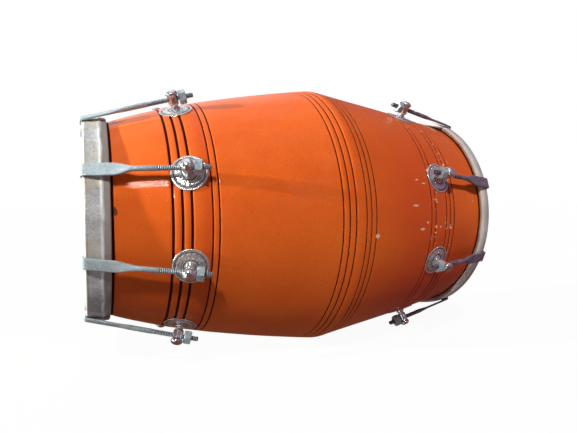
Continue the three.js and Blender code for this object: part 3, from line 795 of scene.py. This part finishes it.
def hookRings(lie, width, seed):
    # each ring: its middle along the rod and outward, the direction of its thickness, half its
    # width, half its thickness, and how flat it is
    tilt = lie["tilt"]
    gap, lip, strip = drum["seatGap"], drum["lipDepth"], drum["stripThickness"]
    plain, neck = hook["plainRadius"], hook["neckRadius"]
    inward = Vector((-math.sin(tilt), -math.cos(tilt)))
    forward = Vector((-math.cos(tilt), math.sin(tilt)))
    base = Vector((lie["corner"], -gap - strip / 2)) + forward * (gap + lip / 2)
    turnPlace = base.y / math.cos(tilt)
    elbow = base + inward * turnPlace
    half = width / 2
    rings = []
    toe = hook["lipLength"] - (gap + strip / 2)
    places = [(toe - step, spread) for step, spread in hook["toeRings"]] + [(turnPlace + 1.6, 1)]
    for place, spread in places:
        rings.append((base + inward * place, forward, half * spread, lip / 2, 1))
    start, finish = base + inward * (turnPlace + 1.3), elbow + Vector((hook["bendReach"], 0))
    for i in range(1, hook["bendSteps"]):
        t = i / hook["bendSteps"]
        middle = start * (1 - t) ** 2 + elbow * 2 * t * (1 - t) + finish * t * t
        heading = ((elbow - start) * (1 - t) + (finish - elbow) * t).normalized()
        outwards = Vector((-heading.y, heading.x))
        rings.append((middle, outwards, half, lip / 2 + (strip - lip) / 2 * t, 1))
    for place in hook["stripPlaces"]:
        taper = smoothstep(place, hook["taperStart"], hook["taperEnd"])
        shake = noise.noise(Vector((place * 0.16, seed, 1.7))) * (1 - taper)
        lift = noise.noise(Vector((place * 0.12, seed, 8.3))) * (1 - taper) * hook["forgedLift"]
        rings.append((
            Vector((lie["corner"] + place, lift)), Vector((0, 1)),
            half + shake * hook["forgedWidth"] + (plain - half) * taper,
            strip / 2 + (plain - strip / 2) * taper ** 1.3, 1 - taper))
    for place, radius in ((-0.4, plain), (0.2, neck)):
        rings.append((
            Vector((hook["threadStart"] + place, 0)), Vector((0, 1)), radius, radius, 0))
    return rings


def loft(bm, rings, skew):
    # one circle, extruded from ring to ring and shaped to each ring's own outline
    angles, edges = newRing(bm, hook["sides"])

    def shape(verts, ring):
        middle, outwards, halfWidth, halfThickness, flatness = ring
        power = 2 / (2 + (hook["cornerSharpness"] - 2) * flatness)
        for vert, angle in verts.items():
            c, s = math.cos(angle), math.sin(angle)
            wide = math.copysign(abs(c) ** power, c) * halfWidth
            thick = math.copysign(abs(s) ** power, s) * halfThickness
            vert.co = Vector((
                middle.x + outwards.x * thick + wide * skew * flatness,
                wide,
                middle.y + outwards.y * thick))

    shape(angles, rings[0])
    bmesh.ops.contextual_create(bm, geom=edges)
    for ring in rings[1:]:
        grown = bmesh.ops.extrude_edge_only(bm, edges=edges)["geom"]
        newVerts = [item for item in grown if isinstance(item, bmesh.types.BMVert)]
        newEdges = [item for item in grown if isinstance(item, bmesh.types.BMEdge)
                    and item.verts[0] in newVerts and item.verts[1] in newVerts]
        oldAngles = angles
        angles = {}
        for vert in newVerts:
            others = [edge.other_vert(vert) for edge in vert.link_edges]
            angles[vert] = next(oldAngles[other] for other in others if other in oldAngles)
        shape(angles, ring)
        edges = newEdges
    bmesh.ops.contextual_create(bm, geom=edges)


def cutThread(bm):
    # one pitch of the thread's edge, spun up the rod, then cut square at both ends
    pitch, steps = hook["pitch"], hook["threadSteps"]
    radius, depth = hook["threadRadius"], hook["threadDepth"]
    start, tip = hook["threadStart"], hook["tip"]
    turns = math.ceil((tip - start) / pitch) + 3
    profile = [(0, radius - depth)]
    profile += [(pitch * share, radius - drop) for share, drop in hook["threadForm"]]
    profile.append((pitch, radius - depth))
    verts = [bm.verts.new((start - pitch * 1.5 + along, 0, high)) for along, high in profile]
    edges = [bm.edges.new(pair) for pair in zip(verts, verts[1:])]
    bmesh.ops.spin(
        bm, geom=verts + edges, cent=(0, 0, 0), axis=(1, 0, 0), dvec=(pitch / steps, 0, 0),
        angle=math.tau * turns, steps=steps * turns, use_merge=False, use_duplicate=False)
    bmesh.ops.remove_doubles(bm, verts=bm.verts, dist=0.01)
    for place, side in ((start, -1), (tip, 1)):
        bmesh.ops.bisect_plane(
            bm, geom=bm.verts[:] + bm.edges[:] + bm.faces[:], dist=0.001,
            plane_co=(place, 0, 0), plane_no=(side, 0, 0), clear_outer=True)
        rim = [edge for edge in bm.edges if edge.is_boundary
               and all(abs(vert.co.x - place) < 0.02 for vert in edge.verts)]
        bmesh.ops.holes_fill(bm, edges=rim, sides=0)
    valley = bm.verts.layers.float.new("valley")
    for vert in bm.verts:
        around = math.hypot(vert.co.y, vert.co.z)
        vert[valley] = 1 - smoothstep(around, radius - depth, radius - 0.1)
        limit = radius - hook["tipBevel"] + (tip - vert.co.x) * hook["tipSlope"]
        if vert.co.x > tip - 0.7 and around > limit:
            vert.co.y *= limit / around
            vert.co.z *= limit / around
    bmesh.ops.recalc_face_normals(bm, faces=bm.faces)


def makeHook(end, number, lie):
    name = f"{end}_hook_{number}"
    width = hook["widths"].get(name, hook["stripWidth"])
    thread = bmesh.new()
    cutThread(thread)
    threadMesh = bpy.data.meshes.new("threadPart")
    thread.to_mesh(threadMesh)
    thread.free()
    bm = bmesh.new()
    bm.verts.layers.float.new("valley")
    loft(bm, hookRings(lie, width, number + senses[end] * 0.37), lie["skew"])
    bmesh.ops.recalc_face_normals(bm, faces=bm.faces)
    bm.from_mesh(threadMesh)
    bpy.data.meshes.remove(threadMesh)
    bm.transform(lie["matrix"])
    toWorld(bm)
    if lie["matrix"].determinant() < 0:
        bmesh.ops.reverse_faces(bm, faces=bm.faces)
    # the bass hooks take the darker copy with painted shade and painted violet reflection
    piece = finished(bm, f"{end}Hook_{number}", finishes[end + "Zinc"], 40)
    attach(piece, name)
    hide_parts(name)


# Nuts: six flats with their corners turned off at both faces

nut = {
    "sides": 96,
    "flats": 12, "turn": 15, "bore": 2.62, "faceRadius": 5.75,
    "chamferDepths": (0, 0.12, 0.26, 0.42, 0.62),
    "chamferSlope": 1.9,
    "boreChamfer": (0.35, 0.25),    # along the bore, and across it to either side
}


def nutRadius(angle, limit):
    sixth = math.tau / 6
    aside = (angle - math.radians(nut["turn"])) % sixth - sixth / 2
    return min(nut["flats"] / 2 / math.cos(aside), limit)


def makeNut(end, number, lie):
    name = f"{end}_nut_{number}"
    near, thickness = drum["nutFace"], drum["nutThickness"]
    far = near + thickness
    inward, spread = nut["boreChamfer"]
    narrow, wide = nut["bore"] - spread, nut["bore"] + spread
    rims = [(depth, nut["faceRadius"] + depth * nut["chamferSlope"])
            for depth in nut["chamferDepths"]]
    rings = [(near + inward, narrow, True), (near, wide, True)]
    rings += [(near + depth, radius, False) for depth, radius in rims]
    rings += [(far - depth, radius, False) for depth, radius in reversed(rims)]
    rings += [(far, wide, True), (far - inward, narrow, True)]
    bm = bmesh.new()
    loops = []
    for place, limit, isRound in rings:
        angles, edges = newRing(bm, nut["sides"])
        for vert, angle in angles.items():
            radius = limit if isRound else nutRadius(angle, limit)
            vert.co = Vector((place, math.cos(angle) * radius, math.sin(angle) * radius))
        loops.append(edges)
    bridge(bm, loops + loops[:1])
    bmesh.ops.recalc_face_normals(bm, faces=bm.faces)
    bm.transform(lie["matrix"])
    toWorld(bm)
    piece = finished(bm, f"{end}Nut_{number}", finishes["trebleZinc"], 24)
    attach(piece, name)
    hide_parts(name)


# Lugs: a capped post over an embossed rosette, with its shank riveted over a washer inside

lug = {
    "steps": 56,
    # (height, radius) from the riveted end over the washer and the shank to the post's foot
    "shank": [(-27.8, 0), (-27.8, 1.6), (-26.9, 3.4), (-26, 4), (-26, 7.6), (-25.6, 8), (-24.9, 8),
              (-24.6, 7.7), (-24.6, 2.5), (-10, 2.5), (-10, 4.6)],
    "post": [(-8.9, 4.7), (-8.3, 4.5), (-7.7, 3.7), (-7.1, 3.35), (-6.5, 3.6), (-5.9, 4.3),
             (-5, 4.8), (-3.5, 4.95), (-1, 4.9), (1.4, 4.8), (3.2, 4.95), (4.4, 5.5), (5.4, 5.8),
             (6.4, 5.55), (7.4, 4.75), (8.2, 3.5), (8.75, 1.8), (8.9, 0)],
    "boreRadius": 2.75, "boreLength": 16,
}


def lugMatrix(lie):
    # the post stands square to the wood, in the plane of the drum's axis
    origin, along, sense = lie["origin"], lie["along"], lie["sense"]
    outward = Vector((0, origin.y, origin.z)).normalized()
    tilt = math.atan2(along.dot(outward), along.x * sense)
    axis = Vector((sense, 0, 0))
    ahead = axis * math.cos(tilt) + outward * math.sin(tilt)
    up = outward * math.cos(tilt) - axis * math.sin(tilt)
    across = up.cross(ahead)
    return Matrix.Translation(origin) @ Matrix((ahead, across, up)).transposed().to_4x4(), tilt


def makeLug(end, number, lie):
    name = f"{end}_lug_{number}"
    bm = bmesh.new()
    turn(bm, lug["shank"] + softened(lug["post"], 3), lug["steps"], True)
    bm.transform(lugMatrix(lie)[0])
    toWorld(bm)
    piece = finished(bm, f"{end}Lug_{number}", finishes["capChrome"], 50)

    drill = bmesh.new()
    bmesh.ops.create_cone(
        drill, cap_ends=True, segments=40, radius1=lug["boreRadius"], radius2=lug["boreRadius"],
        depth=lug["boreLength"], matrix=Matrix.Rotation(math.pi / 2, 4, "Y"))
    drill.transform(lie["matrix"])
    toWorld(drill)
    cutter = finished(drill, "boreCutter", finishes["capChrome"])
    cut = piece.modifiers.new("bore", "BOOLEAN")
    cut.object = cutter
    cut.solver = "EXACT"
    evaluated = piece.evaluated_get(bpy.context.evaluated_depsgraph_get())
    bored = bpy.data.meshes.new_from_object(evaluated)
    piece.modifiers.clear()
    piece.data = bored
    bpy.data.objects.remove(cutter)
    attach(piece, "drum")
    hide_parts(name)


# Rosettes: thin pressed discs that follow the barrel under each lug

rosette = {
    "sides": 140,
    "radius": 16.6,
    "hole": 0.1,    # this and the places below are shares of the radius
    "sheet": 0.7,
    "petals": 16,
    "rings": 34,
    "turn": 0.7,
    "rim": (0.875, 0.9, 0.985, 1),
    "trough": (0.02, 0.87, 0.89),
    "scallop": (0.75, 0.055),
    "plate": (0.44, 0.48, 0.03, 0.02), "moat": (0.35, 0.39, 0.43, 0.46), "bead": (0.56, 0.03),
    "dome": (0.14, 0.34),
    "heights": {"dome": 2.4, "rim": 0.5, "plate": 0.35, "bead": 0.2, "lobe": 0.12},
}


def rosetteForm(share, angle):
    # pressed form, as a height and a hollowness for painted shade: flat rim, trough darkened with
    # painted shade, scalloped plate and dome, with painted shade also in the moat round the dome
    heights = rosette["heights"]
    lobe = abs(math.cos(rosette["petals"] / 2 * angle))
    scallop = rosette["scallop"][0] + rosette["scallop"][1] * lobe
    start, rise, before, after = rosette["plate"]
    plate = ridge(share, start, rise, scallop - before, scallop + after)
    rim = ridge(share, *rosette["rim"])
    bead = max(0, 1 - abs(share - rosette["bead"][0]) / rosette["bead"][1])
    dome = heights["dome"] * (1 - smoothstep(share, *rosette["dome"]))
    height = 0.15 + 0.3 * (1 - smoothstep(share, 0.3, 0.9)) + dome
    height += heights["rim"] * rim + heights["plate"] * plate + heights["bead"] * bead \
        + heights["lobe"] * plate * lobe
    edge, fall, end = rosette["trough"]
    trough = ridge(share, scallop - edge, scallop + edge, fall, end)
    return height, max(trough, ridge(share, *rosette["moat"]))


def makeRosette(end, number, lie):
    matrix, tilt = lugMatrix(lie)
    sense = senses[end]
    origin = lie["origin"]
    up = matrix.to_3x3() @ Vector((0, 0, 1))
    base = origin - up * drum["rodHeight"]
    middle = base.x
    angleHere = math.atan2(base.z, -base.y)
    bm = bmesh.new()
    hollow = bm.verts.layers.float.new("hollow")
    loops = []
    hole = rosette["hole"]
    for ring in range(rosette["rings"] + 1):
        share = hole + (1 - hole) * ring / rosette["rings"]
        reach = share * rosette["radius"]
        angles, edges = newRing(bm, rosette["sides"])
        for vert, angle in angles.items():
            x = middle + sense * math.cos(angle) * reach * math.cos(tilt)
            surface = shellRadius(x + drum["length"] / 2)
            height, depth = rosetteForm(share, angle + number * rosette["turn"])
            lift = drum["seatGap"] + height
            around = angleHere + math.sin(angle) * reach / surface
            radius = surface + lift * math.cos(tilt)
            vert.co = Vector((
                x - sense * lift * math.sin(tilt), -math.cos(around) * radius,
                math.sin(around) * radius))
            vert[hollow] = depth
        loops.append(edges)
    bridge(bm, loops)
    bmesh.ops.recalc_face_normals(bm, faces=bm.faces)
    faces = bm.faces[:]
    bm.normal_update()
    outward = Vector((0, base.y, base.z)).normalized()
    if sum(face.normal.dot(outward) for face in faces) < 0:
        bmesh.ops.reverse_faces(bm, faces=faces)
    bmesh.ops.solidify(bm, geom=faces, thickness=rosette["sheet"])
    toWorld(bm)
    piece = finished(bm, f"{end}Rosette_{number}", finishes["pressedChrome"], 50)
    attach(piece, "drum")


for end in senses:
    for number in range(1, drum["lugCount"] + 1):
        lie = lieOf(end, number)
        makeHook(end, number, lie)
        makeNut(end, number, lie)
        makeLug(end, number, lie)
        makeRosette(end, number, lie)
    print(f"{end} hooks, nuts, lugs and rosettes made")


# Pieces of the frame that stay as they are

def dress(node, material):
    piece = frame["nodes"][node]
    piece.data.materials.clear()
    piece.data.materials.append(material)


for end in senses:
    dress(end + "_hoop", finishes["steel"])
dress("bass_tuning_paste", finishes["paste"])


# Camera, floor and light

camera = {
    "place": (-211.1, -499.1, 169.9),
    "yaw": 24.33, "pitch": -2.49, "roll": -0.2,
    "focalLength": 445,    # this and the photo's width are in its pixels
    "photoWidth": 577,
    "sensorWidth": 36,
    "clip": (0.01, 60),
}
light = {
    # each lamp: its direction from the drum, its strength, its width in degrees and its shade
    "lowSun": ((-0.968, 0.15, 0.19), 5.4, 2, (1, 0.97, 0.92)),
    "highLight": ((-0.42, -0.6, 0.68), 2.3, 4, (1, 0.98, 0.96)),
    "floorReach": 12000,
    "floorShade": (0.93, 0.93, 0.93),
    "floorGlow": 0.955,
}


def makeCamera():
    yaw, pitch, roll = (math.radians(camera[name]) for name in ("yaw", "pitch", "roll"))
    flat = math.cos(pitch)
    forward = Vector((math.sin(yaw) * flat, math.cos(yaw) * flat, math.sin(pitch)))
    right = Vector((math.cos(yaw), -math.sin(yaw), 0))
    up = right.cross(forward)
    leanRight = right * math.cos(roll) + up * math.sin(roll)
    leanUp = up * math.cos(roll) - right * math.sin(roll)
    lens = bpy.data.cameras.new("photoCamera")
    lens.lens = camera["focalLength"] / camera["photoWidth"] * camera["sensorWidth"]
    lens.sensor_width = camera["sensorWidth"]
    lens.sensor_fit = "HORIZONTAL"
    lens.clip_start, lens.clip_end = camera["clip"]
    holder = bpy.data.objects.new("photoCamera", lens)
    turned = Matrix((leanRight, leanUp, -forward)).transposed().to_4x4()
    holder.matrix_world = Matrix.Translation(Vector(camera["place"]) * mm) @ turned
    bpy.context.scene.collection.objects.link(holder)
    bpy.context.scene.camera = holder


def makeLamp(name):
    towards, strength, width, shade = light[name]
    lamp = bpy.data.lights.new(name, "SUN")
    lamp.energy = strength
    lamp.angle = math.radians(width)
    lamp.color = shade
    holder = bpy.data.objects.new(name, lamp)
    holder.rotation_euler = Vector(towards).to_track_quat("Z", "Y").to_euler()
    holder.visible_glossy = name != "highLight"    # the window in the sky glints in its place
    bpy.context.scene.collection.objects.link(holder)


def makeFloor():
    bm = bmesh.new()
    bmesh.ops.create_grid(bm, x_segments=1, y_segments=1, size=light["floorReach"])
    f = newFinish("paleFloor")
    lit = f.add("ShaderNodeBsdfDiffuse", inputs={"Color": light["floorShade"]})
    glow = f.add("ShaderNodeEmission", inputs={"Color": (1, 1, 1), "Strength": 1.0})
    both = f.add("ShaderNodeMixShader", inputs={0: light["floorGlow"], 1: lit, 2: glow})
    f.add("ShaderNodeOutputMaterial", inputs={"Surface": both})
    floor = finished(bm, "paleFloor", f.owner)
    floor.visible_diffuse = False
    floor.visible_glossy = False


sky = {
    # the soft fill: its strength everywhere, from the front and from below, and its tints
    "fill": (0.1, 0.08, 0.2),
    "fillTints": ((1, 0.98, 0.95), (1, 0.62, 0.85)),
    # the room: its dark sides and its floor, then its bright cards
    "sides": ((0.11, 0.1, 0.095), (0.3, 0.15, 0.22)),
    "ground": (0.16, 0.06, 0.025),
    "overhead": (1.0, 1.08, 1.14), "facing": (0.95, 1.0, 1.05), "windows": (1.6, 1.62, 1.66),
    "behind": (1.0, 0.97, 1.0), "glint": (48, 47, 45), "plain": (1, 1, 1),
}


def makeSky():
    # a soft fill for matt surfaces, a darker room with bright cards for shiny ones, white behind
    world = bpy.data.worlds.new("studioSky")
    bpy.context.scene.world = world
    f = Finish(world)
    way = f.add("ShaderNodeTexCoord", out="Generated")
    x, y, z = (f.add("ShaderNodeSeparateXYZ", inputs={0: way}, out=axis) for axis in "XYZ")
    left, front, below = 0 - x, 0 - y, 0 - z
    everywhere, fromFront, fromBelow = sky["fill"]
    tint = f.mix(x.above(-0.3, 0.8), *sky["fillTints"])
    strength = everywhere + fromFront * front.orMore(0) + fromBelow * below.orMore(0)
    fill = f.mix(1.0, tint, strength, "MULTIPLY")

    cards = f.add("ShaderNodeTexNoise", inputs={
        "Vector": way, "Scale": 3.6, "Detail": 2, "Roughness": 0.5})
    room = f.mix(x.above(-0.1, 0.5), *sky["sides"])
    overhead = z.above(0.6, 0.85) * (1 - x.above(0.15, 0.5)) * (0.4 + 0.6 * cards.above(0.46, 0.53))
    facing = z.above(0.1, 0.3) * front.above(0.3, 0.6) * cards.above(0.55, 0.59)
    behind = y.above(0.35, 0.7) * z.above(0.15, 0.4) * (1 - x.above(0.2, 0.5))
    # a small bright window that glints on the lacquer below the upper rod
    glint = z.above(0.52, 0.54) * (1 - z.above(0.6, 0.62)) * front.above(0.4, 0.5)
    layers = [
        (below.above(0, 0.3) * 0.8, "ground"),
        (overhead, "overhead"),
        (facing * (1 - x.above(0.3, 0.5)) * 0.75, "facing"),
        (left.above(0.55, 0.8) * cards.above(0.5, 0.56), "windows"),
        (behind, "behind"),
        (glint * left.above(0.34, 0.4) * (1 - left.above(0.5, 0.53)), "glint"),
    ]
    for share, shade in layers:
        room = f.mix(share, room, sky[shade])

    soft, sharp, plain = (
        f.add("ShaderNodeBackground", inputs={"Color": shade, "Strength": 1.0})
        for shade in (fill, room, sky["plain"]))
    shiny = f.add("ShaderNodeLightPath", out="Is Glossy Ray")
    seen = f.add("ShaderNodeLightPath", out="Is Camera Ray")
    lighting = f.add("ShaderNodeMixShader", inputs={0: shiny, 1: soft, 2: sharp})
    whole = f.add("ShaderNodeMixShader", inputs={0: seen, 1: lighting, 2: plain})
    f.add("ShaderNodeOutputWorld", inputs={"Surface": whole})


makeCamera()
for name in ("lowSun", "highLight"):
    makeLamp(name)
makeFloor()
makeSky()
bpy.context.scene.view_settings.view_transform = "Standard"
print("camera, floor and light made")
